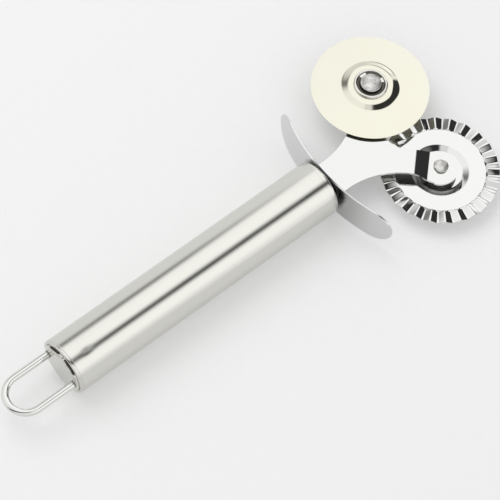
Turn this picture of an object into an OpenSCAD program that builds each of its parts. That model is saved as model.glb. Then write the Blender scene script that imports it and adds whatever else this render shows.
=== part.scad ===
// Double pastry cutter: a plain wheel and a fluted wheel on a forked plate with a round tube handle.
// All lengths are in millimetres. The rest pose lies on its handle, with both wheels flat.

/* [Handle] */
// Outside diameter of the handle tube
handle_dia = 22; // [18:0.5:28]
// Wall thickness of the handle tube
handle_wall = 0.8; // [0.5:0.1:1.5]
// Length of the handle from the rear face to the boss that carries the guard
handle_len = 121.28; // [90:0.01:150]
// Radius of the rounded front corner of the handle
nose_round = 1.2; // [0.5:0.1:1.5]
// Length of the front cap that shows in front of the tube
nose_len = 2.3; // [1.8:0.1:6]
// Height of the boss between the front face and the guard
boss_height = 1; // [0.5:0.1:3]
// Width of the rear cap's visible flange
cap_flange = 1.8; // [1:0.1:4]
// Rounding of the rear cap's rim
cap_round = 1.3; // [0.5:0.1:1.7]
// Width of the seam between the rear cap and the tube
seam_gap = 0.3; // [0.1:0.05:0.6]
// Distance from the rim to the round groove in the rear face
groove_inset = 1.55; // [1.5:0.05:3]

/* [Hanging loop] */
// Diameter of the loop's wire
loop_wire = 2.8; // [2:0.1:4]
// Distance between the centrelines of the two legs
loop_gap = 14.6; // [10:0.1:18]
// Overall reach of the loop behind the handle
loop_reach = 23.8; // [16:0.1:40]

/* [Finger guard] */
// Full width of the guard strip, tip to tip
guard_span = 62.6; // [45:0.1:80]
// Height of the guard strip
guard_height = 16.8; // [10:0.1:22]
// Thickness of the guard strip
guard_thick = 0.7; // [0.5:0.1:2]
// Bend radius of the guard strip
guard_bend = 78; // [50:1:200]

/* [Fork plate] */
// Thickness of the fork plate
plate_thick = 1; // [0.8:0.1:2]
// Width of the fork's stem
stem_width = 14.4; // [10:0.1:20]
// Radius of the concave outer edge of each arm
arm_curve = 32; // [20:1:45]
// Radius of the notch between the arms
notch_radius = 11.9; // [8:0.1:14]
// Radius of the round pad at the end of each arm
pad_radius = 7.1; // [5:0.1:9]
// Distance that each rivet sits beyond the centre of its pad
pad_shift = 0.8; // [0:0.1:2]
// Offset of the lower pad, made by the joggle in its arm
joggle = 2.5; // [1:0.1:4]

/* [Wheels] */
// Diameter of both wheels
wheel_dia = 45.2; // [35:0.1:60]
// Sheet thickness of both wheels
wheel_thick = 0.6; // [0.4:0.1:1.2]
// Height of the pressed hub above the rim, on the side away from the arm
hub_rise = 1.2; // [0.4:0.1:2]
// Dish of the plain wheel: how far its edge lies nearer to the arm than its web at the hub
wheel_dish = 0.6; // [0:0.1:0.8]
// Gap between each arm and the mid-plane of its wheel's rim
rim_gap = 1.6; // [1:0.1:4]
// Distance from the handle's rear face to the wheel axes
wheel_x = 162.7; // [140:0.1:190]
// Distance of each wheel axis from the handle axis
wheel_y = 20.5; // [15:0.1:30]
// Number of flutes round the fluted wheel
flutes = 24; // [12:1:40]
// Height of each flute above and below the rim's mid-plane
flute_height = 0.5; // [0.3:0.05:1.2]
// Turn of the fluted wheel at rest, in degrees
flute_phase = 10.65; // [0:0.05:30]

/* [Hidden] */
$fn = 96;
handle_r = handle_dia / 2;
bore_r = handle_r - handle_wall;
sleeve_r = bore_r - 0.02;
sleeve_in = sleeve_r - 0.8;
tube_x0 = cap_flange + seam_gap;
face_x = handle_len - boss_height;
tube_x1 = face_x - nose_len;
boss_r = handle_r - 3.5;
cap_wall = 1.2;
groove_half = 0.4;
groove_r = handle_r - groove_inset;
wire_r = loop_wire / 2;
leg_y = loop_gap / 2;
loop_x = -(loop_reach - leg_y - wire_r);
leg_end = 7;
guard_x = handle_len + 0.02 + guard_thick / 2;
tang_w = 10;
tang_x0 = 97;
stem_x0 = guard_x + guard_thick / 2 + 0.35;
plug_x0 = 103;
plug_r = sleeve_in - 0.02;
stem_half = stem_width / 2;
arc_x = 128;
arc_y = stem_half + arm_curve;
notch_x = 165;
joggle_turn = 47;
half_t = plate_thick / 2;
shank_r = 2;
bush_r = 3;
run_gap = 0.05;
spacer_r = 5;
rim_mid = half_t + rim_gap;
hub_low = rim_mid + hub_rise - wheel_thick / 2;
hub_top = hub_low + wheel_thick;
cup_low = hub_top + run_gap;
seat_z = cup_low + 0.35;
crest_z = cup_low + 0.9;
cup_r = 6.5;
head_r = 4.05;
head_edge = 0.8;
head_h = 0.9;
pad_x0 = wheel_x - pad_shift;
tail_r = 2.95;
tail_h = 1.2;
wheel_r = wheel_dia / 2;
hub_flat = 8.5;
hub_edge = 11;
edge_bevel = 1.3;
flute_start = 17;
flute_full = 18.3;
wave_steps = 8;
x_mid = (wheel_x + wheel_r - loop_reach) / 2;

// The drawing origin is the centre of the handle's rear face; the part stands on z = 0, centred.
module place() {
  translate([-x_mid, 0, handle_r])
    children();
}

// Turns a shape drawn round Z so that it lies along the handle.
module along_x(x = 0) {
  translate([x, 0, 0])
    rotate([0, 90, 0])
      children();
}

// Stack of parts on the upper arm, measured up from the middle of the plate.
module at_plain() {
  translate([wheel_x, wheel_y, 0])
    children();
}

// Stack of parts on the lower arm, measured down from the middle of its pad.
module at_fluted() {
  translate([wheel_x, -wheel_y, -joggle])
    rotate([180, 0, 0])
      children();
}

module ring(r_out, r_in, low, high) {
  translate([0, 0, low])
    difference() {
      cylinder(r = r_out, h = high - low);
      translate([0, 0, -1])
        cylinder(r = r_in, h = high - low + 2);
    }
}

module handle_tube() {
  color("silver")
    place()
      along_x()
        ring(handle_r, bore_r, tube_x0, tube_x1);
}

module nose_profile() {
  difference() {
    union() {
      translate([0, tube_x1])
        square([handle_r - nose_round, nose_len]);
      translate([0, tube_x1])
        square([handle_r, nose_len - nose_round]);
      translate([handle_r - nose_round, face_x - nose_round])
        intersection() {
          circle(r = nose_round);
          square(nose_round + 1);
        }
      translate([0, tube_x1])
        square([boss_r, nose_len + boss_height]);
      translate([0, tube_x1 - 10])
        square([sleeve_r, 11]);
    }
    translate([-1, tube_x1 - 11])
      square([sleeve_in + 1, nose_len - cap_wall + 11]);
  }
}

module front_cap() {
  color("silver")
    place()
      difference() {
        along_x()
          rotate_extrude()
            nose_profile();
        translate([face_x - 4, -tang_w / 2 - 0.1, -half_t - 0.05])
          cube([8, tang_w + 0.2, plate_thick + 0.1]);
      }
}

module end_cap_profile() {
  difference() {
    union() {
      square([handle_r - cap_round, cap_flange]);
      translate([0, cap_round])
        square([handle_r, cap_flange - cap_round]);
      translate([handle_r - cap_round, cap_round])
        intersection() {
          circle(r = cap_round);
          translate([0, -cap_round - 1])
            square([cap_round + 1, cap_round + 1]);
        }
      square([sleeve_r, 9]);
    }
    translate([-1, 1])
      square([sleeve_in + 1, 9]);
    translate([groove_r, 0])
      circle(r = groove_half);
  }
}

module end_cap() {
  color("silver")
    place()
      difference() {
        along_x()
          rotate_extrude()
            end_cap_profile();
        for (side = [-1, 1])
          translate([-1, side * leg_y, 0])
            rotate([0, 90, 0])
              cylinder(r = wire_r + 0.03, h = 3);
      }
}

module hanging_loop() {
  color("gainsboro")
    place()
      union() {
        for (side = [-1, 1])
          translate([loop_x, side * leg_y, 0])
            rotate([0, 90, 0])
              cylinder(r = wire_r, h = leg_end - loop_x);
        translate([loop_x, 0, 0])
          rotate([0, 0, 90])
            rotate_extrude(angle = 180)
              translate([leg_y, 0])
                circle(r = wire_r);
      }
}

module loop_collar(side) {
  translate([0, side * leg_y, 0])
    along_x()
      ring(wire_r + 0.55, wire_r + 0.01, 1.02, 3.2);
}

module loop_collar_left() {
  color("darkgray")
    place()
      loop_collar(1);
}

module loop_collar_right() {
  color("darkgray")
    place()
      loop_collar(-1);
}

module guard_outline() {
  end_r = guard_height / 2;
  flat_half = guard_span / 2 - end_r;
  union() {
    square([guard_height, 2 * flat_half], center = true);
    for (side = [-1, 1])
      translate([0, side * flat_half])
        circle(r = end_r);
  }
}

module finger_guard() {
  color("silver")
    place()
      difference() {
        intersection() {
          translate([guard_x + guard_bend, 0, -guard_height])
            difference() {
              cylinder(r = guard_bend + guard_thick / 2, h = 2 * guard_height);
              translate([0, 0, -1])
                cylinder(r = guard_bend - guard_thick / 2, h = 2 * guard_height + 2);
            }
          along_x(guard_x - 4)
            linear_extrude(height = 20)
              guard_outline();
        }
        translate([guard_x - 5, -tang_w / 2 - 0.1, -half_t - 0.05])
          cube([10, tang_w + 0.2, plate_thick + 0.1]);
      }
}

// Half of the fork's plan: stem, concave outer edge, pad, and the straight inner edge to the notch.
module fork_half() {
  reach = norm([pad_x0 - arc_x, wheel_y - arc_y]);
  outer_x = arc_x + (pad_x0 - arc_x) * arm_curve / reach;
  outer_y = arc_y + (wheel_y - arc_y) * arm_curve / reach;
  apart = norm([pad_x0 - notch_x, wheel_y]);
  lean = atan2(wheel_y, pad_x0 - notch_x) + acos((notch_radius + pad_radius) / apart);
  inner_x = notch_x + notch_radius * cos(lean);
  inner_y = notch_radius * sin(lean);
  pad_x = pad_x0 - pad_radius * cos(lean);
  pad_y = wheel_y - pad_radius * sin(lean);
  difference() {
    union() {
      polygon([
        [stem_x0, 0], [stem_x0, stem_half], [arc_x, stem_half], [outer_x, outer_y],
        [pad_x0, wheel_y], [pad_x, pad_y], [inner_x, inner_y], [inner_x, 0]
      ]);
      translate([pad_x0, wheel_y])
        circle(r = pad_radius);
    }
    translate([arc_x, arc_y])
      circle(r = arm_curve);
    translate([notch_x, 0])
      circle(r = notch_radius);
  }
}

// Side view of the sheet across the joggle: the lower arm steps down before its pad.
module joggle_profile() {
  bend_up = -9.1;
  bend_down = -4.3;
  shift = 0.25;
  polygon([
    [-90, half_t], [bend_up, half_t], [bend_down, half_t - joggle], [20, half_t - joggle],
    [20, -half_t - joggle], [bend_down - shift, -half_t - joggle],
    [bend_up - shift, -half_t], [-90, -half_t]
  ]);
}

module fork_plate() {
  color("whitesmoke")
    place()
      difference() {
        union() {
          intersection() {
            translate([0, 0, -10])
              linear_extrude(height = 20)
                union() {
                  fork_half();
                  mirror([0, 1])
                    fork_half();
                }
            translate([pad_x0, -wheel_y, 0])
              rotate([0, 0, -joggle_turn])
                rotate([90, 0, 0])
                  translate([0, 0, -70])
                    linear_extrude(height = 140)
                      joggle_profile();
          }
          translate([tang_x0, -tang_w / 2, -half_t])
            cube([stem_x0 - tang_x0 + 2, tang_w, plate_thick]);
        }
        for (side = [-1, 1])
          translate([wheel_x, side * wheel_y, -10])
            cylinder(r = shank_r + 0.02, h = 20);
        translate([plug_x0 + 6, 0, -5])
          cylinder(r = 1.52, h = 10);
      }
}

module tang_plug() {
  color("dimgray")
    place()
      difference() {
        along_x()
          ring(plug_r, 0.001, plug_x0, face_x - cap_wall - 0.05);
        translate([plug_x0 - 1, -tang_w / 2 - 0.02, -half_t - 0.02])
          cube([30, tang_w + 0.04, plate_thick + 0.04]);
        translate([plug_x0 + 6, 0, -15])
          cylinder(r = 1.52, h = 30);
      }
}

module tang_pin() {
  color("dimgray")
    place()
      translate([plug_x0 + 6, 0, -plug_r + 1])
        cylinder(r = 1.5, h = 2 * plug_r - 2);
}

// Section of a pressed wheel out to radius r_end, with its raised hub and an optional cutting bevel and dish.
module wheel_section(r_end, bevel, dish) {
  rim_low = rim_mid - wheel_thick / 2;
  rim_top = rim_mid + wheel_thick / 2;
  polygon([
    [bush_r + run_gap, hub_low], [hub_flat - 0.15, hub_low], [hub_edge - 0.15, rim_low],
    [r_end - bevel, rim_low - dish], [r_end, rim_mid - 0.1 - dish], [r_end, rim_mid + 0.1 - dish],
    [r_end - bevel, rim_top - dish], [hub_edge + 0.15, rim_top], [hub_flat + 0.15, hub_top],
    [bush_r + run_gap, hub_top]
  ]);
}

module plain_wheel() {
  color("ivory")
    place()
      at_plain()
        rotate_extrude()
          wheel_section(wheel_r, edge_bevel, wheel_dish);
}

// Height of the corrugated rim at radius r and angle a, above or below its mid-plane.
function flute_z(r, a) =
  flute_height * min(1, max(0, (r - flute_start) / (flute_full - flute_start))) * sin(a * flutes);

// The corrugated rim is one ring of sheet whose two faces follow the same wave.
module fluted_rim() {
  radii = [flute_start - 0.4, flute_start, (flute_start + flute_full) / 2, flute_full, wheel_r];
  count = flutes * wave_steps;
  rings = len(radii);
  half_sheet = wheel_thick / 2;
  points = [
    for (face = [-1, 1])
      for (r = radii)
        for (i = [0 : count - 1])
          let (a = 360 * i / count)
            [r * cos(a), r * sin(a), rim_mid + face * half_sheet + flute_z(r, a)]
  ];
  top = rings * count;
  faces = [
    for (k = [0 : rings - 2])
      for (i = [0 : count - 1])
        let (j = (i + 1) % count, p = top + k * count)
          each [[p + i, p + count + i, p + count + j], [p + i, p + count + j, p + j]],
    for (k = [0 : rings - 2])
      for (i = [0 : count - 1])
        let (j = (i + 1) % count, p = k * count)
          each [[p + i, p + count + j, p + count + i], [p + i, p + j, p + count + j]],
    for (i = [0 : count - 1])
      let (j = (i + 1) % count, p = (rings - 1) * count)
        each [[p + i, p + j, top + p + j], [p + i, top + p + j, top + p + i]],
    for (i = [0 : count - 1])
      let (j = (i + 1) % count)
        each [[j, i, top + i], [j, top + i, top + j]]
  ];
  polyhedron(points = points, faces = [for (f = faces) [f[2], f[1], f[0]]]);
}

module fluted_wheel() {
  color("whitesmoke")
    place()
      at_fluted()
        rotate([0, 0, flute_phase])
          union() {
            rotate_extrude()
              wheel_section(flute_start - 0.2, 0, 0);
            fluted_rim();
          }
}

// Domed rivet head: a slice of a sphere of the given rim radius and height.
module dome(r, h) {
  ball = (r * r + h * h) / (2 * h);
  intersection() {
    translate([0, 0, h - ball])
      sphere(r = ball);
    cylinder(r = r + 1, h = h + 1);
  }
}

module rivet() {
  union() {
    translate([0, 0, -half_t])
      cylinder(r = shank_r, h = seat_z + half_t);
    translate([0, 0, seat_z])
      cylinder(r = head_r, h = head_edge);
    translate([0, 0, seat_z + head_edge])
      dome(head_r, head_h);
    translate([0, 0, -half_t])
      rotate([180, 0, 0])
        dome(tail_r, tail_h);
  }
}

module cup_washer() {
  rotate_extrude()
    polygon([
      [shank_r + 0.02, cup_low], [cup_r, cup_low], [cup_r, cup_low + 0.4],
      [cup_r - 0.2, crest_z - 0.15], [cup_r - 0.5, crest_z], [cup_r - 0.8, crest_z],
      [cup_r - 1.1, crest_z - 0.12], [head_r + 0.3, seat_z], [shank_r + 0.02, seat_z]
    ]);
}

module plain_rivet() {
  color("lightgray")
    place()
      at_plain()
        rivet();
}

module plain_bush() {
  color("darkgray")
    place()
      at_plain()
        ring(bush_r, shank_r + 0.02, half_t, cup_low);
}

module plain_cup_washer() {
  color("silver")
    place()
      at_plain()
        cup_washer();
}

module plain_spacer() {
  color("darkgray")
    place()
      at_plain()
        ring(spacer_r, bush_r + 0.02, half_t, hub_low - run_gap);
}

module fluted_rivet() {
  color("lightgray")
    place()
      at_fluted()
        rivet();
}

module fluted_bush() {
  color("darkgray")
    place()
      at_fluted()
        ring(bush_r, shank_r + 0.02, half_t, cup_low);
}

module fluted_cup_washer() {
  color("silver")
    place()
      at_fluted()
        cup_washer();
}

module fluted_spacer() {
  color("darkgray")
    place()
      at_fluted()
        ring(spacer_r, bush_r + 0.02, half_t, hub_low - run_gap);
}

handle_tube();
front_cap();
end_cap();
hanging_loop();
loop_collar_left();
loop_collar_right();
finger_guard();
fork_plate();
tang_plug();
tang_pin();
plain_wheel();
plain_rivet();
plain_bush();
plain_cup_washer();
plain_spacer();
fluted_wheel();
fluted_rivet();
fluted_bush();
fluted_cup_washer();
fluted_spacer();
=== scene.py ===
import math
import bmesh
import bpy
import numpy as np
from mathutils import Matrix, Vector


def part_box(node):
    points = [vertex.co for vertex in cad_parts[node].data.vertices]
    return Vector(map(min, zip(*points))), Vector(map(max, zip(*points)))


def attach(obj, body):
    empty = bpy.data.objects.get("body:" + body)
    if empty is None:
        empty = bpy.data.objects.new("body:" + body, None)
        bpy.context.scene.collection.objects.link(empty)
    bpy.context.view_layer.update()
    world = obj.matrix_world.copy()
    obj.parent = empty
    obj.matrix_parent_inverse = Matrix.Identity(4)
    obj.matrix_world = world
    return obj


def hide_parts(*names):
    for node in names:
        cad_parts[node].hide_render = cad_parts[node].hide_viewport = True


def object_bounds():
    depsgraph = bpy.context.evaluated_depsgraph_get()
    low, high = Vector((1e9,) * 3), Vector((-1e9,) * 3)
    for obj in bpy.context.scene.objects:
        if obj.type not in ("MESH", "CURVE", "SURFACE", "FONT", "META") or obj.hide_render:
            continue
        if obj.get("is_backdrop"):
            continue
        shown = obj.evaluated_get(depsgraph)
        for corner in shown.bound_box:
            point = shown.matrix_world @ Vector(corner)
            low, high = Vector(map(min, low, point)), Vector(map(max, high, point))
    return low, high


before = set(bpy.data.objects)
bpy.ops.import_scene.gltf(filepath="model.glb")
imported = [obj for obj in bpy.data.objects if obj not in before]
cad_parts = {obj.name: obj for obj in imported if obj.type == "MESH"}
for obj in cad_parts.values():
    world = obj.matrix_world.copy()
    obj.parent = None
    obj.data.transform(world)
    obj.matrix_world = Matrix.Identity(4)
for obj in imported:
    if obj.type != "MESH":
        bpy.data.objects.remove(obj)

CAD_BOX = [list(c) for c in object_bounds()]
MM = 0.001


# ---------------------------------------------------------------- places, from the CAD frame
def wheel_axis(name):
    """The point at height 0 on a wheel's upright axis."""
    lo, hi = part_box(name)
    return Vector(((lo.x + hi.x) / 2, (lo.y + hi.y) / 2, 0))


PLAIN = wheel_axis("plain_wheel")
FLUTED = wheel_axis("fluted_wheel")
TUBE_LO, TUBE_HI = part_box("handle_tube")
LOOP_LO, LOOP_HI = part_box("hanging_loop")
REAR_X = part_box("end_cap")[0].x
NOSE_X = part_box("front_cap")[1].x
GUARD_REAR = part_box("finger_guard")[0].x
TANG_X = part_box("fork_plate")[0].x
AXIS_Z = (TUBE_LO.z + TUBE_HI.z) / 2
FLOOR_Z = TUBE_LO.z
# the mid-plane of the plate lies on the handle's axis, and the fluted wheel's pad lies lower
PLATE_Z = AXIS_Z
DROP = 2.5 * MM
PAD_Z = AXIS_Z - DROP


# ---------------------------------------------------------------- mesh helpers
def link(ob):
    bpy.context.scene.collection.objects.link(ob)
    return ob


def mesh_object(name, verts, faces, mat, smooth=True):
    me = bpy.data.meshes.new(name)
    me.from_pydata([tuple(v) for v in verts], [], faces)
    me.validate()
    bm = bmesh.new()
    bm.from_mesh(me)
    bmesh.ops.remove_doubles(bm, verts=bm.verts, dist=1e-7)
    bmesh.ops.recalc_face_normals(bm, faces=bm.faces)
    bm.to_mesh(me)
    bm.free()
    for p in me.polygons:
        p.use_smooth = smooth
    me.materials.append(mat)
    return link(bpy.data.objects.new(name, me))


def on_circle(cx, cy, r, angles):
    """Points on a circle, angles in radians."""
    return [(cx + r * math.cos(a), cy + r * math.sin(a)) for a in angles]


def arc(cx, cy, r, a0, a1, n):
    """n + 1 points on an arc, angles in degrees."""
    return on_circle(cx, cy, r, [math.radians(a0 + (a1 - a0) * i / n) for i in range(n + 1)])


def lathe(name, profile, place, mat, steps, bump=None):
    """Turns a closed (radius, height) profile, in millimetres, round an axis. place maps a point to
    the frame, and bump(angle, height, radius) is added to the radius."""
    verts, faces, rows = [], [], []
    for r, h in profile:
        if r < 1e-6:
            rows.append([len(verts)] * steps)
            verts.append(place(0.0, 0.0, h * MM))
            continue
        rows.append(list(range(len(verts), len(verts) + steps)))
        for i in range(steps):
            a = 2 * math.pi * i / steps
            rr = r + (bump(a, h, r) if bump else 0.0)
            verts.append(place(rr * math.cos(a) * MM, rr * math.sin(a) * MM, h * MM))
    count = len(rows)
    for k in range(count):
        one, two = rows[k], rows[(k + 1) % count]
        if one[0] == one[1] and two[0] == two[1]:
            continue
        for i in range(steps):
            j = (i + 1) % steps
            quad = [one[i], one[j], two[j], two[i]]
            flat = [v for n, v in enumerate(quad) if v not in quad[:n]]
            if len(flat) > 2:
                faces.append(flat)
    return mesh_object(name, verts, faces, mat)


def along_handle(x, y, h):
    """Axis along the handle: height runs forward from the rear face, and angles start at +Y."""
    return Vector((REAR_X + h, x, AXIS_Z + y))


def up_from(centre, base, sign):
    """Axis upright at a wheel; heights are measured from the mid-plane of its arm."""
    def place(x, y, h):
        return Vector((centre.x + x, centre.y + sign * y, base + sign * h))
    return place


on_plain = up_from(PLAIN, PLATE_Z, 1)
on_fluted = up_from(FLUTED, PAD_Z, -1)


def paint(ob, mat, chosen):
    """Gives a second material to the faces that chosen(centre, normal) picks."""
    ob.data.materials.append(mat)
    for face in ob.data.polygons:
        if chosen(face.center, face.normal):
            face.material_index = 1


def faces_down(at, normal):
    return normal.z < -0.8


# ---------------------------------------------------------------- material helpers
def new_material(name):
    mat = bpy.data.materials.new(name)
    mat.use_nodes = True
    nt = mat.node_tree
    nt.nodes.clear()
    out = nt.nodes.new("ShaderNodeOutputMaterial")
    bsdf = nt.nodes.new("ShaderNodeBsdfPrincipled")
    nt.links.new(bsdf.outputs["BSDF"], out.inputs["Surface"])
    return mat, nt, bsdf


def node(nt, kind, **values):
    """A new node. A value named like an input sets that input, and any other sets a property."""
    n = nt.nodes.new(kind)
    for key, value in values.items():
        if key in n.inputs:
            n.inputs[key].default_value = value
        else:
            setattr(n, key, value)
    return n


def math_node(nt, op, a, b=None, c=None, clamp=False):
    n = nt.nodes.new("ShaderNodeMath")
    n.operation = op
    n.use_clamp = clamp
    for i, v in enumerate((a, b, c)):
        if v is None:
            continue
        if isinstance(v, (int, float)):
            n.inputs[i].default_value = v
        else:
            nt.links.new(v, n.inputs[i])
    return n.outputs[0]


def hypot_node(nt, x, y):
    squares = math_node(nt, "ADD", math_node(nt, "MULTIPLY", x, x), math_node(nt, "MULTIPLY", y, y))
    return math_node(nt, "SQRT", squares)


def off_centre(nt, value, weight, base):
    """base, plus weight times how far a noise value is from its middle."""
    return math_node(nt, "MULTIPLY_ADD", math_node(nt, "SUBTRACT", value, 0.5), weight, base)


def split_xyz(nt, source):
    sep = node(nt, "ShaderNodeSeparateXYZ")
    nt.links.new(source, sep.inputs[0])
    return sep.outputs


def noise(nt, place, scale, detail, rough):
    tex = node(nt, "ShaderNodeTexNoise", Scale=scale, Detail=detail, Roughness=rough)
    nt.links.new(place, tex.inputs["Vector"])
    return tex.outputs["Fac"]


def mapped(nt, place, **values):
    mapping = node(nt, "ShaderNodeMapping", **values)
    nt.links.new(place, mapping.inputs["Vector"])
    return mapping.outputs[0]


def round_centre(nt, source, centre):
    """Radius, a length along the circle and height about a centre, for marks that run round it."""
    shift = node(nt, "ShaderNodeVectorMath", operation="SUBTRACT")
    nt.links.new(source, shift.inputs[0])
    shift.inputs[1].default_value = tuple(centre)
    x, y, z = split_xyz(nt, shift.outputs[0])
    comb = node(nt, "ShaderNodeCombineXYZ")
    nt.links.new(hypot_node(nt, x, y), comb.inputs[0])
    nt.links.new(math_node(nt, "MULTIPLY", math_node(nt, "ARCTAN2", y, x), 3 * MM), comb.inputs[1])
    nt.links.new(z, comb.inputs[2])
    return comb.outputs[0]


def thin_lines(nt, source, cloud):
    """A sparse net of fine scratches: 1 on a line, 0 between, and only where the cloud is thick."""
    lines = node(nt, "ShaderNodeTexVoronoi", feature="DISTANCE_TO_EDGE", Scale=260.0)
    place = mapped(nt, source, Scale=(0.35, 1.0, 1.0), Rotation=(0.3, 0.2, 0.5))
    nt.links.new(place, lines.inputs["Vector"])
    away = math_node(nt, "MULTIPLY", lines.outputs["Distance"], 60.0)
    thin = math_node(nt, "SUBTRACT", 1.0, away, clamp=True)
    return math_node(nt, "MULTIPLY", thin, math_node(nt, "GREATER_THAN", cloud, 0.56))


def metal(name, base, tint, rough, rough_var, grain_scale, grain_depth, blotch,
          grain=(1, 1, 1), scratch=0.0, dings=0.0, polar=None, shade=None, cloud_scale=38.0):
    """Steel with polishing marks stretched by grain, or round the point polar, and faint blotches
    from base to tint. Its roughness and bump come from the same noise. shade darkens it by place."""
    mat, nt, bsdf = new_material(name)
    bsdf.inputs["Metallic"].default_value = 1.0
    source = node(nt, "ShaderNodeTexCoord").outputs["Object"]
    place = source if polar is None else round_centre(nt, source, polar)
    place = mapped(nt, place, Scale=grain)
    marks = noise(nt, place, grain_scale, 6.0, 0.65)
    fine = noise(nt, place, grain_scale * 3.1, 3.0, 0.5)
    cloud = noise(nt, source, cloud_scale, 4.0, 0.55)

    # colour: base to tint, by cloud and marks
    fac = math_node(nt, "ADD", math_node(nt, "MULTIPLY", cloud, 0.7),
                    math_node(nt, "MULTIPLY", marks, 0.3), clamp=True)
    fac = math_node(nt, "MULTIPLY_ADD", math_node(nt, "SUBTRACT", fac, 0.5), blotch * 30, 0.5, clamp=True)
    mix = node(nt, "ShaderNodeMix", data_type="RGBA", blend_type="MIX")
    nt.links.new(fac, mix.inputs["Factor"])
    mix.inputs["A"].default_value = (*base, 1)
    mix.inputs["B"].default_value = (*tint, 1)
    colour = mix.outputs["Result"]
    if shade is not None:
        darker = node(nt, "ShaderNodeVectorMath", operation="SCALE")
        nt.links.new(colour, darker.inputs[0])
        nt.links.new(shade(nt, source), darker.inputs["Scale"])
        colour = darker.outputs[0]
    nt.links.new(colour, bsdf.inputs["Base Color"])

    # roughness and the height for the bump
    r = off_centre(nt, cloud, rough_var, off_centre(nt, marks, rough_var * 2, rough))
    height = math_node(nt, "ADD", marks, math_node(nt, "MULTIPLY", fine, 0.4))
    if scratch > 0:
        thin = thin_lines(nt, source, cloud)
        r = math_node(nt, "MULTIPLY_ADD", thin, scratch, r)
        height = math_node(nt, "SUBTRACT", height, math_node(nt, "MULTIPLY", thin, scratch * 4))
    if dings > 0:
        height = math_node(nt, "MULTIPLY_ADD", noise(nt, source, 700.0, 2.0, 0.5), dings, height)
    nt.links.new(math_node(nt, "MAXIMUM", r, 0.015), bsdf.inputs["Roughness"])
    bump = node(nt, "ShaderNodeBump", Strength=1.0, Distance=grain_depth)
    nt.links.new(height, bump.inputs["Height"])
    nt.links.new(bump.outputs["Normal"], bsdf.inputs["Normal"])
    return mat


def painted_crevice_shade(nt, source):
    """Painted shade: dark in the crevice round the handle's axis, and a soft painted shade beside it on the
    -Y side.
    """
    _, y, height = split_xyz(nt, source)
    z = math_node(nt, "SUBTRACT", height, AXIS_Z)
    out = math_node(nt, "SUBTRACT", hypot_node(nt, y, z), 9.0 * MM)
    crevice = math_node(nt, "DIVIDE", out, 2.5 * MM, clamp=True)
    from_nose = math_node(nt, "ABSOLUTE", math_node(nt, "ADD", y, 10.5 * MM))
    soft = math_node(nt, "DIVIDE", from_nose, 13 * MM, clamp=True)
    soft = math_node(nt, "MULTIPLY_ADD", soft, 0.26, 0.76)
    return math_node(nt, "MULTIPLY", soft, math_node(nt, "MULTIPLY_ADD", crevice, 0.9, 0.1))


# ---------------------------------------------------------------- materials
# warm brushed tube, its marks drawn out along the handle
HANDLE_STEEL = metal("handle_steel", (0.69, 0.685, 0.645), (0.65, 0.645, 0.605),
                     rough=0.17, rough_var=0.05, blotch=0.02, scratch=0.03,
                     grain=(0.035, 1, 1), grain_scale=1500, grain_depth=0.0012 * MM)
CAP_STEEL = metal("end_cap_steel", (0.66, 0.655, 0.62), (0.61, 0.605, 0.57),
                  rough=0.10, rough_var=0.04, blotch=0.02,
                  grain_scale=1200, grain_depth=0.001 * MM)
WIRE_STEEL = metal("wire_steel", (0.74, 0.74, 0.72), (0.68, 0.68, 0.66),
                   rough=0.06, rough_var=0.05, blotch=0.03,
                   grain=(0.15, 1, 1), grain_scale=1600, grain_depth=0.001 * MM)
# satin guard, its marks drawn out across the tool, with painted shade round the handle
GUARD_STEEL = metal("guard_steel", (0.66, 0.66, 0.66), (0.63, 0.63, 0.63),
                    rough=0.22, rough_var=0.06, blotch=0.02, shade=painted_crevice_shade,
                    grain=(1, 0.05, 1), grain_scale=1500, grain_depth=0.002 * MM)
# mirror-bright plate and wheels, the plain one straw-coloured
PLATE_STEEL = metal("plate_steel", (0.695, 0.695, 0.685), (0.67, 0.67, 0.66),
                    rough=0.045, rough_var=0.025, blotch=0.015, scratch=0.02,
                    grain=(0.08, 1, 1), grain_scale=1300, grain_depth=0.0004 * MM)
PLAIN_METAL = metal("plain_wheel_metal", (0.695, 0.70, 0.62), (0.70, 0.665, 0.55),
                    rough=0.06, rough_var=0.03, blotch=0.045, polar=PLAIN,
                    grain_scale=1500, grain_depth=0.0004 * MM)
FLUTED_STEEL = metal("fluted_wheel_steel", (0.70, 0.70, 0.69), (0.68, 0.68, 0.67),
                     rough=0.045, rough_var=0.025, blotch=0.015, polar=FLUTED,
                     grain_scale=1500, grain_depth=0.0004 * MM)
# satin washers under the rivets' heads
WASHER_STEEL = metal("washer_steel", (0.71, 0.70, 0.66), (0.64, 0.63, 0.59),
                     rough=0.10, rough_var=0.05, blotch=0.03,
                     grain_scale=1800, grain_depth=0.001 * MM)
# hammered and mottled rivets
RIVET_STEEL = metal("rivet_steel", (0.74, 0.735, 0.72), (0.34, 0.335, 0.31),
                    rough=0.34, rough_var=0.12, blotch=0.11, dings=1.0, cloud_scale=480,
                    grain_scale=900, grain_depth=0.07 * MM)
# duller faces underneath, painted darker as shade, that are seen mostly in reflections
UNDER_SHADE_STEEL = metal("plate_underside_painted_shade", (0.40, 0.40, 0.39), (0.34, 0.34, 0.33),
                    rough=0.30, rough_var=0.06, blotch=0.03,
                    grain=(0.08, 1, 1), grain_scale=1300, grain_depth=0.004 * MM)
PLAIN_UNDER_SHADE = metal("plain_wheel_underside_painted_shade", (0.36, 0.35, 0.29), (0.31, 0.30, 0.25),
                    rough=0.30, rough_var=0.05, blotch=0.02, polar=PLAIN,
                    grain_scale=1500, grain_depth=0.004 * MM)
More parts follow.
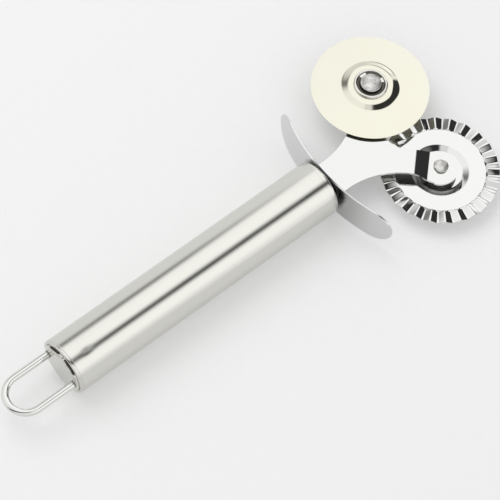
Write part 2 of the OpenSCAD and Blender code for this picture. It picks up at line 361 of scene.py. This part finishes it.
# painted shade in crevices, sides painted darker as shade, and pieces that are out of sight
PAINTED_SHADE_STEEL = metal("crevice_painted_shade", (0.12, 0.115, 0.095), (0.07, 0.065, 0.055),
                    rough=0.30, rough_var=0.08, blotch=0.05,
                    grain_scale=1200, grain_depth=0.005 * MM)
SIDE_SHADE_STEEL = metal("rivet_side_painted_shade", (0.34, 0.33, 0.29), (0.22, 0.21, 0.18),
                   rough=0.32, rough_var=0.08, blotch=0.05,
                   grain_scale=1200, grain_depth=0.01 * MM)
INNER_STEEL = metal("inner_steel", (0.55, 0.55, 0.55), (0.42, 0.42, 0.42),
                    rough=0.38, rough_var=0.1, blotch=0.05,
                    grain_scale=900, grain_depth=0.01 * MM)


# ---------------------------------------------------------------- handle
# in millimetres; heights are measured forward from the rear face
TUBE_R, TUBE_BORE = 11.0, 10.2
TUBE_REAR = (TUBE_LO.x - REAR_X) / MM
TUBE_FRONT = (TUBE_HI.x - REAR_X) / MM
SLEEVE_R = 10.18
HANDLE_STEPS = 256

# the press mark near the rear, on the upper side: its angle from +Y through up, its place and size
DENT_TURN, DENT_AT, DENT_DEPTH = 108.5, 8.6, 0.10
DENT_WIDE, DENT_LONG = 1.5, 2.3
FINE_END = 18


def turned_by(a, middle):
    """Degrees from the angle middle to the angle a, between -180 and 180. a is in radians."""
    return (math.degrees(a) - middle + 180) % 360 - 180


def dent(a, h, r):
    across = math.radians(turned_by(a, DENT_TURN)) * TUBE_R
    return -DENT_DEPTH * math.exp(-(across / DENT_WIDE) ** 2 - ((h - DENT_AT) / DENT_LONG) ** 2)


# rows lie close together as far as the mark reaches, and wider apart beyond it
rows = [TUBE_REAR + 0.12 + (FINE_END - TUBE_REAR) * i / 60 for i in range(61)]
rows += [FINE_END + (TUBE_FRONT - FINE_END - 0.3) * i / 12 for i in range(1, 13)]
profile = [(TUBE_BORE, TUBE_REAR), (TUBE_R - 0.12, TUBE_REAR), (TUBE_R - 0.035, TUBE_REAR + 0.035)]
profile += [(TUBE_R, h) for h in rows]
profile += [(TUBE_R, TUBE_FRONT - 0.05), (TUBE_R, TUBE_FRONT - 0.01)]
profile += [(TUBE_R - 0.02, TUBE_FRONT), (TUBE_BORE, TUBE_FRONT)]
tube = lathe("handle_tube_polished", profile, along_handle, HANDLE_STEEL, HANDLE_STEPS, dent)
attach(tube, "handle_body")
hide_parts("handle_tube")

# the front cap: rounded edge, flat face, a boss that carries the guard, and a sleeve inside the tube
NOSE = (NOSE_X - REAR_X) / MM
NOSE_ROUND = 1.2
BOSS_R, BOSS_H = 7.5, 1.0
FRONT_WALL, FRONT_BORE, FRONT_SLEEVE = 1.2, 9.36, 10
JOINT = TUBE_FRONT + 0.002
face = NOSE - BOSS_H
profile = [(FRONT_BORE, TUBE_FRONT - FRONT_SLEEVE), (SLEEVE_R, TUBE_FRONT - FRONT_SLEEVE)]
profile += [(SLEEVE_R, JOINT), (TUBE_R - 0.02, JOINT)]
profile += [(TUBE_R, TUBE_FRONT + rise) for rise in (0.01, 0.05, 0.4)]
profile += arc(TUBE_R - NOSE_ROUND, face - NOSE_ROUND, NOSE_ROUND, 0, 90, 16)
profile += [(BOSS_R + 0.1, face), (BOSS_R, face + 0.1), (BOSS_R, NOSE), (0.0, NOSE)]
profile += [(0.0, face - FRONT_WALL), (FRONT_BORE, face - FRONT_WALL)]
cap = lathe("front_cap_polished", profile, along_handle, HANDLE_STEEL, HANDLE_STEPS)
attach(cap, "handle_body")
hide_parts("front_cap")

# the rear cap: a disc with a rounded edge, pressed into a rolled rim, and a sleeve inside the tube
DISC_R, DISC_ROUND = 8.5, 0.7
RIM_IN, BEAD_R, BEAD_AT = 9.7, 0.65, 1.50
SEAM_FLOOR = 1.38
# how far painted shade darkens the seam, in depth and radius
SEAM_SHADE_FROM, SEAM_SHADE_TO = 0.34, 1.5
SEAM_SHADE_IN, SEAM_SHADE_OUT = DISC_R - 0.4, RIM_IN - 0.55
REAR_WALL, REAR_BORE, REAR_SLEEVE = 1.9, 9.38, 9.0
# where the seam stays open: middle and half width in degrees
OPEN_SEAMS = ((61, 19), (118, 20), (290, 34))


def rolled_seam(a, h, r):
    """The disc's edge is pressed against the rolled rim, except where the seam stays open."""
    if not DISC_R - DISC_ROUND < r < DISC_R + 0.1 or h > SEAM_FLOOR:
        return 0.0
    closed = 1.0
    for middle, half in OPEN_SEAMS:
        closed = min(closed, 1 - math.exp(-(turned_by(a, middle) / half) ** 4))
    return (RIM_IN - DISC_R - 0.1) * closed * min(1, (r - DISC_R + DISC_ROUND) / 0.6)


def in_seam(at, normal):
    depth = (at.x - REAR_X) / MM
    out = math.hypot(at.y, at.z - AXIS_Z) / MM
    return SEAM_SHADE_FROM < depth < SEAM_SHADE_TO and SEAM_SHADE_IN < out < SEAM_SHADE_OUT


profile = [(0.0, 0.0), (7.0, 0.0)] + arc(DISC_R - DISC_ROUND, DISC_ROUND, DISC_ROUND, -90, 0, 12)
profile += [(DISC_R, 0.9), (DISC_R, 1.35), (RIM_IN, 1.4)]
profile += arc(RIM_IN + BEAD_R, BEAD_AT, BEAD_R, 180, 360, 24)
profile += [(TUBE_R, 1.6), (TUBE_R, TUBE_REAR - 0.06), (TUBE_R - 0.03, TUBE_REAR - 0.02)]
profile += [(SLEEVE_R, TUBE_REAR - 0.02), (SLEEVE_R, REAR_SLEEVE), (REAR_BORE, REAR_SLEEVE)]
profile += [(REAR_BORE, REAR_WALL), (8.2, REAR_WALL), (0.0, REAR_WALL)]
end = lathe("end_cap_polished", profile, along_handle, CAP_STEEL, HANDLE_STEPS, rolled_seam)
# painted shade in the seam between the disc and the rolled rim
paint(end, PAINTED_SHADE_STEEL, in_seam)
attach(end, "handle_body")
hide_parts("end_cap")


# ---------------------------------------------------------------- hanging loop
def sweep(name, path, radius, mat, sides=32):
    """A round wire along a path that lies flat, closed at both ends."""
    verts, faces = [], []
    n = len(path)
    for i, p in enumerate(path):
        t = (path[min(i + 1, n - 1)] - path[max(i - 1, 0)]).normalized()
        side = t.cross(Vector((0, 0, 1))).normalized()
        up = side.cross(t)
        for k in range(sides):
            a = 2 * math.pi * k / sides
            verts.append(p + (side * math.cos(a) + up * math.sin(a)) * radius)
    for i in range(n - 1):
        for k in range(sides):
            j = (k + 1) % sides
            faces.append([i * sides + k, i * sides + j, (i + 1) * sides + j, (i + 1) * sides + k])
    faces.append(list(range(sides)))
    faces.append([(n - 1) * sides + k for k in range(sides)])
    return mesh_object(name, verts, faces, mat)


WIRE_R = 1.4 * MM
LEG_Y = 7.3 * MM
BEND_X = LOOP_LO.x + WIRE_R + LEG_Y
LEG_LONG = LOOP_HI.x - BEND_X
LEG_PARTS, BEND_PARTS = 24, 64


def shaded_at_cap(at, normal):
    """Picks the wire just before it enters the cap, where it gets painted shade for the crevice."""
    margin = 0.65 * MM if at.y > 0 else 0.35 * MM
    return at.x > REAR_X - margin


path = [Vector((LOOP_HI.x - LEG_LONG * i / LEG_PARTS, LEG_Y, AXIS_Z)) for i in range(LEG_PARTS + 1)]
for i in range(1, BEND_PARTS):
    a = math.pi * i / BEND_PARTS
    path.append(Vector((BEND_X - LEG_Y * math.sin(a), LEG_Y * math.cos(a), AXIS_Z)))
path += [Vector((BEND_X + LEG_LONG * i / LEG_PARTS, -LEG_Y, AXIS_Z)) for i in range(LEG_PARTS + 1)]
loop = sweep("hanging_loop_wire", path, WIRE_R, WIRE_STEEL)
# painted shade on the wire where it enters the cap
paint(loop, SIDE_SHADE_STEEL, shaded_at_cap)
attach(loop, "handle_body")
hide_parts("hanging_loop")


# ---------------------------------------------------------------- sheet pieces cut from an outline
def round_edges(ob, width):
    """Rounds a sheet's cut edges and keeps its wide faces evenly shaded."""
    mod = ob.modifiers.new("edge", "BEVEL")
    mod.width = width
    mod.segments = 3
    mod.limit_method = "ANGLE"
    mod.angle_limit = math.radians(40)
    mod.harden_normals = False
    wn = ob.modifiers.new("normals", "WEIGHTED_NORMAL")
    wn.keep_sharp = True
    wn.weight = 100
    return ob


def sheet(name, outline, thick, mat, cuts, lift, edge_round):
    """A plate from a closed outline (metres, counter-clockwise). cuts are (point, normal) planes
    that divide it across its bends, and lift moves each point into the bent shape."""
    bm = bmesh.new()
    ring = [bm.verts.new((x, y, -thick / 2)) for x, y in outline]
    out = bmesh.ops.extrude_face_region(bm, geom=[bm.faces.new(ring)])
    tops = [g for g in out["geom"] if isinstance(g, bmesh.types.BMVert)]
    bmesh.ops.translate(bm, verts=tops, vec=(0, 0, thick))
    for co, no in cuts:
        bmesh.ops.bisect_plane(bm, geom=bm.verts[:] + bm.edges[:] + bm.faces[:], dist=1e-8,
                               plane_co=co, plane_no=no)
    bmesh.ops.recalc_face_normals(bm, faces=bm.faces)
    for v in bm.verts:
        v.co = lift(v.co.copy())
    me = bpy.data.meshes.new(name)
    bm.to_mesh(me)
    bm.free()
    for p in me.polygons:
        p.use_smooth = True
    me.materials.append(mat)
    return round_edges(link(bpy.data.objects.new(name, me)), edge_round)


# finger guard: a round-ended strip, bent to an arc in plan
GUARD_T = 0.7 * MM
GUARD_MID = GUARD_REAR + GUARD_T / 2
GUARD_ROUND = 8.4 * MM
GUARD_STRAIGHT = 31.3 * MM - GUARD_ROUND
BEND = 78 * MM


def bend_guard(v):
    r = BEND - v.z
    a = math.asin(max(-1, min(1, v.x / BEND)))
    return Vector((GUARD_MID + BEND - r * math.cos(a), r * math.sin(a), AXIS_Z + v.y))


outline = arc(GUARD_STRAIGHT, 0, GUARD_ROUND, -90, 90, 48)
outline += arc(-GUARD_STRAIGHT, 0, GUARD_ROUND, 90, 270, 48)
cuts = [((x * MM, 0, 0), (1, 0, 0)) for x in np.linspace(-30.5, 30.5, 62)]
guard = sheet("finger_guard_strip", outline, GUARD_T, GUARD_STEEL, cuts, bend_guard, 0.28 * MM)
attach(guard, "handle_body")
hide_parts("finger_guard")

# fork plate: tang, stem, two arms with concave outer edges, round pads, and the notch between them
PLATE_T = 1.0 * MM
STEM_X = GUARD_REAR + GUARD_T + 0.35 * MM
TANG_HALF, STEM_HALF = 5 * MM, 7.2 * MM
WAIST_R = 32 * MM
WAIST_X, WAIST_Y = REAR_X + 128 * MM, STEM_HALF + WAIST_R
NOTCH_R, NOTCH_X = 11.9 * MM, REAR_X + 165 * MM
PAD_R, PAD_X, PAD_Y = 7.1 * MM, PLAIN.x - 0.8 * MM, PLAIN.y


def half_fork():
    """The +Y half of the outline, from the stem round the pad to the notch, as arcs that touch."""
    meet = math.atan2(PAD_Y - WAIST_Y, PAD_X - WAIST_X)
    apart = math.hypot(PAD_X - NOTCH_X, PAD_Y)
    lean = math.atan2(PAD_Y, PAD_X - NOTCH_X) + math.acos((NOTCH_R + PAD_R) / apart)
    pad_from, pad_to = meet + math.pi, lean + math.pi
    while pad_to > pad_from:
        pad_to -= 2 * math.pi
    half = [(STEM_X, STEM_HALF)] + on_circle(WAIST_X, WAIST_Y, WAIST_R, np.linspace(-math.pi / 2, meet, 40))
    half += on_circle(PAD_X, PAD_Y, PAD_R, np.linspace(pad_from, pad_to, 60)[1:])
    return half + on_circle(NOTCH_X, 0, NOTCH_R, np.linspace(lean, math.pi, 24)[:-1])


upper = half_fork()
lower = [(x, -y) for x, y in upper[::-1]]
outline = [(TANG_X, TANG_HALF), (STEM_X, TANG_HALF)] + upper + [(NOTCH_X - NOTCH_R, 0)] + lower
outline += [(STEM_X, -TANG_HALF), (TANG_X, -TANG_HALF)]
outline = outline[::-1]

# the fluted wheel's arm steps down across two bends: (distance from the pad, half width)
FOLD_TURN = math.radians(-47)
FOLD_DIR = Vector((math.cos(FOLD_TURN), math.sin(FOLD_TURN), 0))
FOLD_AT = Vector((PAD_X, -PAD_Y, 0))
BENDS = [(-9.1 * MM, 1.3 * MM), (-4.15 * MM, 0.35 * MM)]


def fold_drop(t):
    """Depth of the joggled arm at distance t along it, with rounded bends."""
    (a, ra), (b, rb) = BENDS
    slope = DROP / (b - a)
    if t <= a - ra:
        return 0.0
    if t < a + ra:
        return slope * (t - a + ra) ** 2 / (4 * ra)
    if t <= b - rb:
        return slope * (t - a)
    if t < b + rb:
        return DROP - slope * (b + rb - t) ** 2 / (4 * rb)
    return DROP


def bend_fork(v):
    t = (Vector((v.x, v.y, 0)) - FOLD_AT).dot(FOLD_DIR)
    return Vector((v.x, v.y, PLATE_Z + v.z - fold_drop(t)))


cuts = []
for at, width in BENDS:
    for s in np.linspace(-1, 1, 13):
        cuts.append((tuple(FOLD_AT + FOLD_DIR * (at + s * width)), tuple(FOLD_DIR)))
fork = sheet("fork_plate_sheet", outline, PLATE_T, PLATE_STEEL, cuts, bend_fork, 0.10 * MM)
# painted shade on the plate's underside
paint(fork, UNDER_SHADE_STEEL, faces_down)
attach(fork, "handle_body")
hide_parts("fork_plate")


# ---------------------------------------------------------------- wheels, as sheets on a polar grid
# in millimetres; heights are measured from the mid-plane of the wheel's arm
WHEEL_R, BORE_R = 22.6, 3.05
SHEET_HALF = 0.3
WEB_H, HUB_RISE = 2.1, 1.2
# where the hub's cone begins and ends, and how soft its shoulders are
PLAIN_HUB = (8.5, 11.1, 0.5)
FLUTED_HUB = (8.5, 11.2, 0.4)
DISH, DISH_FROM = 0.6, 11.6


def smooth(t):
    t = max(0.0, min(1.0, t))
    return t * t * t * (t * (6 * t - 15) + 10)


def hub_height(r, hub):
    """Height of the sheet's middle over the arm: raised hub, cone with rounded shoulders, flat web."""
    inner, outer, soft = hub
    slope = HUB_RISE / (outer - inner)

    def fillet(x):
        """Integral of a step that is spread over 2 * soft."""
        return 0.0 if x <= -soft else (x if x >= soft else (x + soft) ** 2 / (4 * soft))
    return WEB_H + HUB_RISE - slope * (fillet(r - inner) - fillet(r - outer))


def polar_sheet(name, radii, steps, height, half, place, mat):
    """A pressed sheet: two faces at height(r, a) + half(r, side), a bore wall and a rim wall."""
    verts, faces = [], []
    rows = len(radii)
    for side in (1, -1):
        for r in radii:
            for i in range(steps):
                a = 2 * math.pi * i / steps
                h = height(r, a) + half(r, side)
                verts.append(place(r * math.cos(a) * MM, r * math.sin(a) * MM, h * MM))
    other = rows * steps
    for k in range(rows - 1):
        for i in range(steps):
            j = (i + 1) % steps
            p, q = k * steps, (k + 1) * steps
            faces.append([p + i, q + i, q + j, p + j])
            faces.append([other + p + i, other + p + j, other + q + j, other + q + i])
    for k in (0, rows - 1):
        for i in range(steps):
            j = (i + 1) % steps
            p = k * steps
            faces.append([p + i, p + j, other + p + j, other + p + i])
    ob = mesh_object(name, verts, faces, mat)
    mod = ob.modifiers.new("split", "EDGE_SPLIT")
    mod.split_angle = math.radians(50)
    mod.use_edge_sharp = False
    return ob


def hub_radii(cone_steps):
    """Radii of the grid from the bore to the foot of the hub, close together on the cone."""
    return [BORE_R] + list(np.linspace(3.3, 7.7, 8)) + list(np.linspace(7.9, 11.8, cone_steps))


def even(r, side):
    return side * SHEET_HALF


def sharpened(r, side):
    """Half of the sheet, ground to a cutting edge from below and barely from above."""
    start, depth = (21.9, 0.03) if side > 0 else (20.9, 0.50)
    return side * (SHEET_HALF - depth * max(0.0, (r - start) / (WHEEL_R - start)))


def dished(r, a):
    """The plain wheel's web drops towards its edge."""
    return hub_height(r, PLAIN_HUB) - DISH * max(0.0, (r - DISH_FROM) / (WHEEL_R - DISH_FROM))


# rings lie close together where the edge is ground
radii = hub_radii(44) + list(np.linspace(12.4, 20.5, 12))
radii += [20.8, 20.9, 21.0, 21.4, 21.85, 21.95, 22.2, 22.5, WHEEL_R]
plain = polar_sheet("plain_wheel_sheet", radii, 256, dished, sharpened, on_plain, PLAIN_METAL)
# painted shade on the wheel's underside
paint(plain, PLAIN_UNDER_SHADE, faces_down)
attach(plain, "plain_wheel_body")
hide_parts("plain_wheel")

FLUTES = 24
PHASE = math.radians(10.65)
FLUTE_H = 0.60
FLUTE_IN, FLUTE_RUN = 17.2, 1.1


def soft_clip(x):
    """x up to 0.7, then a parabola that levels out at 0.85 for x = 1."""
    x = min(1.0, x)
    return x if x < 0.7 else x - (x - 0.7) ** 2 / 0.6


def fluted_height(r, a):
    """Straight flanks between rounded crests, which run out towards the hub at the same flank angle."""
    base = hub_height(r, FLUTED_HUB)
    depth = smooth((r - FLUTE_IN) / FLUTE_RUN)
    if depth < 1e-4:
        return base
    wave = math.asin(math.sin(FLUTES * (a - PHASE))) / (math.pi / 2)
    return base + math.copysign(FLUTE_H * depth * soft_clip(abs(wave) / depth), wave)


# rings lie close together where the flutes begin
radii = hub_radii(40) + [12.4, 13, 14, 15, 16, 16.9]
radii += list(np.linspace(FLUTE_IN, FLUTE_IN + FLUTE_RUN, 16)) + list(np.linspace(18.7, WHEEL_R, 10))
fluted = polar_sheet("fluted_wheel_sheet", radii, FLUTES * 24, fluted_height, even, on_fluted, FLUTED_STEEL)
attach(fluted, "fluted_wheel_body")
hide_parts("fluted_wheel")

# ---------------------------------------------------------------- rivets and washers
# in millimetres from the mid-plane of the arm
ARM_LOW = -0.5
CUP_LOW, CUP_FLOOR = 3.65, 0.35
CUP_R, CUP_BORE = 6.5, 2.02
SEAT = CUP_LOW + CUP_FLOOR
SHANK_R, HEAD_R, TAIL_R = 2.0, 4.0, 2.75
# sectors of the washer's floor left out of the painted shade, where highlights show, in degrees
UNSHADED_SPOTS = ((72, 104), (-28, -4))


def dome_points(r, h, base, up=1, n=14):
    """A dome's profile from its rim, at height base, to its top or, with up=-1, its lowest point."""
    ball = (r * r + h * h) / (2 * h)
    start = math.asin(r / ball)
    pts = []
    for i in range(n + 1):
        a = start * (1 - i / n)
        pts.append((ball * math.sin(a), base + up * (h - ball + ball * math.cos(a))))
    return pts


def cup_profile():
    """A washer with a rolled rim, whose inner wall comes down to the floor round the rivet's head."""
    points = [(CUP_R - 0.15, CUP_LOW), (CUP_R, CUP_LOW + 0.12), (CUP_R, CUP_LOW + 0.42)]
    points += arc(5.95, CUP_LOW + 0.42, 0.48, 20, 90, 8) + arc(5.80, CUP_LOW + 0.50, 0.40, 90, 165, 8)
    points += [(5.33, CUP_LOW + 0.44), (5.22, CUP_LOW + 0.37), (5.10, SEAT)]
    return points + [(CUP_BORE, SEAT), (CUP_BORE, CUP_LOW)]


def rivet_profile():
    """From the formed end under the arm, up the shank, to the domed head on the washer."""
    points = dome_points(TAIL_R - 0.1, 0.5, -1.25, -1)[::-1]
    points += [(TAIL_R, h) for h in (-1.15, -0.8, ARM_LOW)]
    points += [(SHANK_R, ARM_LOW), (SHANK_R, SEAT), (HEAD_R - 0.05, SEAT)]
    points += [(HEAD_R, SEAT + rise) for rise in (0.05, 0.4, 0.72)]
    points += [(HEAD_R - 0.03, SEAT + 0.82), (HEAD_R - 0.12, SEAT + 0.90)]
    return points + dome_points(HEAD_R - 0.2, 0.76, SEAT + 0.94)[1:]


def hammered(a, h, r):
    """Uneven edge of the formed rivet end."""
    if h > ARM_LOW or r < 0.3:
        return 0.0
    return 0.10 * math.sin(3 * a + 0.7) + 0.05 * math.sin(7 * a + 1.9)


def painted_shade_round(centre):
    """Picks the washer's floor round the rivet's head for painted shade, but for the unshaded spots."""
    def chosen(at, normal):
        x, y = at.x - centre.x, at.y - centre.y
        turn = math.degrees(math.atan2(y, x))
        unshaded = any(low < turn < high for low, high in UNSHADED_SPOTS)
        return abs(normal.z) > 0.3 and math.hypot(x, y) < 5.36 * MM and not unshaded
    return chosen


def faces_sideways(at, normal):
    return abs(normal.z) < 0.3


for name, centre, place in (("plain", PLAIN, on_plain), ("fluted", FLUTED, on_fluted)):
    cup = lathe(f"{name}_cup_washer_turned", cup_profile(), place, WASHER_STEEL, 160)
    # painted shade on the washer's floor round the rivet's head
    paint(cup, PAINTED_SHADE_STEEL, painted_shade_round(centre))
    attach(cup, "handle_body")
    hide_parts(f"{name}_cup_washer")
    rivet = lathe(f"{name}_rivet_headed", rivet_profile(), place, RIVET_STEEL, 96, hammered)
    # painted shade on the sides of the head and the formed end
    paint(rivet, SIDE_SHADE_STEEL, faces_sideways)
    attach(rivet, "handle_body")
    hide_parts(f"{name}_rivet")

# the CAD's own inner pieces stay, in a duller steel
for name in ("loop_collar_left", "loop_collar_right", "tang_plug", "tang_pin", "plain_bush", "plain_spacer",
             "fluted_bush", "fluted_spacer"):
    for material_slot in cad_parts[name].material_slots:
        material_slot.material = INNER_STEEL


# ---------------------------------------------------------------- floor and world
def floor_paper():
    """Matt paper with a faint mottle."""
    mat, nt, bsdf = new_material("floor_paper")
    bsdf.inputs["Roughness"].default_value = 0.9
    bsdf.inputs["Specular IOR Level"].default_value = 0.0
    paper = noise(nt, node(nt, "ShaderNodeTexCoord").outputs["Object"], 300.0, 3.0, 0.5)
    tone = node(nt, "ShaderNodeValToRGB")
    dark_end, light_end = tone.color_ramp.elements
    dark_end.color = (0.80, 0.80, 0.80, 1)
    light_end.color = (0.82, 0.82, 0.82, 1)
    nt.links.new(paper, tone.inputs["Fac"])
    nt.links.new(tone.outputs["Color"], bsdf.inputs["Base Color"])
    return mat


FLOOR_HALF = 4
corners = [(x * FLOOR_HALF, y * FLOOR_HALF, FLOOR_Z) for x, y in ((-1, -1), (1, -1), (1, 1), (-1, 1))]
floor = mesh_object("floor", corners, [[0, 1, 2, 3]], floor_paper(), False)
floor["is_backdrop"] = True

world = bpy.data.worlds.new("studio")
bpy.context.scene.world = world
world.use_nodes = True
world.node_tree.nodes["Background"].inputs["Color"].default_value = (1, 1, 1, 1)
world.node_tree.nodes["Background"].inputs["Strength"].default_value = 0.585

# ---------------------------------------------------------------- light tent
# Seen only in reflections: bright cloth, with a dark gap overhead that lies along a great circle, and
# patches given by their turn from +X towards +Y and their height, in degrees. A patch that runs to
# BOTTOM or TOP, which lie beyond every height, has no edge on that side.
TENT_R = 0.6
BRIGHT, DIM = 1.27, 1.0
GAP_NORMAL, GAP_AT, GAP_HALF, GAP_SOFT, GAP_LEVEL = (0.10, 0.927, 0.375), 0.01, 0.138, 0.100, 0.035
BOTTOM, TOP = -120, 120
# (turn from, to, softness), (height from, to, softness), level; a later patch covers an earlier one
FAR_CLOTH = ((35, 130, 10), (BOTTOM, 25, 3), 0.92)
PATCHES = (
    ((-125, -82, 5), (64, TOP, 3), 0.95),
    ((-15, 5, 2), (3, 38, 2), 0.04),
    ((-37, 9, 2), (17, 45, 2), 0.04),
    ((-140, -65, 15), (BOTTOM, 14, 12), 0.87),
    ((62, 100, 10), (28, 46, 7), 0.26),
    ((14, 37, 4), (14.5, 27, 2), 0.12),
)


def edge(nt, value, at, soft):
    """0 below at, 1 above it, over a soft width."""
    return math_node(nt, "DIVIDE", math_node(nt, "SUBTRACT", value, at - soft), 2 * soft, clamp=True)


def band(nt, value, low, high, soft):
    """1 between low and high, 0 outside."""
    down = math_node(nt, "SUBTRACT", 1.0, edge(nt, value, high, soft))
    return math_node(nt, "MULTIPLY", edge(nt, value, low, soft), down)


def blend(nt, light, one, two, level):
    """Bring the light to level where both masks are 1."""
    mask = math_node(nt, "MULTIPLY", one, two)
    keep = math_node(nt, "MULTIPLY", light, math_node(nt, "SUBTRACT", 1.0, mask))
    return math_node(nt, "MULTIPLY_ADD", mask, level, keep)


def tent_light(nt, direction):
    """Strength of the tent's light in a direction from its middle."""
    dx, dy, dz = split_xyz(nt, direction)
    turn = math_node(nt, "MULTIPLY", math_node(nt, "ARCTAN2", dy, dx), 180 / math.pi)
    rise = math_node(nt, "MULTIPLY", math_node(nt, "ARCSINE", dz), 180 / math.pi)
    normal = Vector(GAP_NORMAL).normalized()
    across = math_node(nt, "MULTIPLY", dx, normal.x)
    across = math_node(nt, "MULTIPLY_ADD", dy, normal.y, across)
    across = math_node(nt, "MULTIPLY_ADD", dz, normal.z, across)

    # brighter towards +X, and brightest about 30 degrees to either side of the gap
    side = math_node(nt, "MULTIPLY_ADD", math_node(nt, "ABSOLUTE", across), 2.0, -1.0)
    glow = math_node(nt, "SUBTRACT", 1.0, math_node(nt, "MULTIPLY", side, side))
    cloth = math_node(nt, "MULTIPLY_ADD", edge(nt, dx, -0.25, 0.35), BRIGHT - DIM, DIM)
    light = math_node(nt, "MULTIPLY", cloth, math_node(nt, "MULTIPLY_ADD", glow, 0.12, 0.93))

    def patch(light, turns, rises, level):
        return blend(nt, light, band(nt, turn, *turns), band(nt, rise, *rises), level)

    light = patch(light, *FAR_CLOTH)
    gap = band(nt, across, GAP_AT - GAP_HALF, GAP_AT + GAP_HALF, GAP_SOFT)
    light = blend(nt, light, gap, edge(nt, rise, 2, 2), GAP_LEVEL)
    for turns, rises, level in PATCHES:
        light = patch(light, turns, rises, level)
    return light


def tent_cloth():
    mat = bpy.data.materials.new("light_tent")
    mat.use_nodes = True
    nt = mat.node_tree
    nt.nodes.clear()
    out = nt.nodes.new("ShaderNodeOutputMaterial")
    emit = nt.nodes.new("ShaderNodeEmission")
    nt.links.new(emit.outputs[0], out.inputs["Surface"])
    direction = node(nt, "ShaderNodeVectorMath", operation="NORMALIZE")
    nt.links.new(node(nt, "ShaderNodeTexCoord").outputs["Object"], direction.inputs[0])
    nt.links.new(tent_light(nt, direction.outputs[0]), emit.inputs["Strength"])
    emit.inputs["Color"].default_value = (1, 1, 1, 1)
    return mat


bm = bmesh.new()
bmesh.ops.create_icosphere(bm, subdivisions=6, radius=TENT_R)
me = bpy.data.meshes.new("light_tent")
bm.to_mesh(me)
bm.free()
me.materials.append(tent_cloth())
tent = link(bpy.data.objects.new("light_tent", me))
tent.visible_camera = False
tent.visible_diffuse = False
tent.visible_shadow = False
tent.visible_transmission = False
tent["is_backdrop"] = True

# ---------------------------------------------------------------- lamps, which reflections don't see
KEY_AT, KEY_SIZE, KEY_POWER = Vector((-0.12, 0.85, 1.3)), 1.3, 6.35
lamp = bpy.data.lights.new("key", "AREA")
lamp.shape = "DISK"
lamp.size = KEY_SIZE
lamp.energy = KEY_POWER
key = link(bpy.data.objects.new("key", lamp))
key.location = KEY_AT
key.rotation_mode = "QUATERNION"
key.rotation_quaternion = (-KEY_AT).to_track_quat("-Z", "Y")
key.visible_glossy = False

# a broad fill from straight above, without shadows of its own, keeps the shadows on the floor pale
lamp = bpy.data.lights.new("fill", "SUN")
lamp.energy = 1.0
lamp.angle = math.radians(40)
lamp.use_shadow = False
fill = link(bpy.data.objects.new("fill", lamp))
fill.location = (0, 0, 1)
fill.visible_glossy = False

# ---------------------------------------------------------------- camera
CAMERA_AT = Vector((REAR_X - 0.1935, -0.2606, AXIS_Z + 0.7081))
VIEW, VIEW_RIGHT = Vector((0.3445, 0.3193, -0.8828)), Vector((0.7666, -0.6385, 0.0682))
cam = bpy.data.cameras.new("camera")
cam.lens = 159.26
cam.sensor_width = 36
cam.clip_start, cam.clip_end = 0.05, 20
camera = link(bpy.data.objects.new("camera", cam))
back = -VIEW.normalized()
right = VIEW_RIGHT.normalized()
right = (right - back * right.dot(back)).normalized()
turned = Matrix((right, back.cross(right), back)).transposed().to_4x4()
camera.matrix_world = Matrix.Translation(CAMERA_AT) @ turned
bpy.context.scene.camera = camera
bpy.context.scene.view_settings.view_transform = "Standard"

bpy.context.view_layer.update()
lo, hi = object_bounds()
{"cad": [list(map(float, c)) for c in CAD_BOX], "visual": [list(map(float, lo)), list(map(float, hi))]}
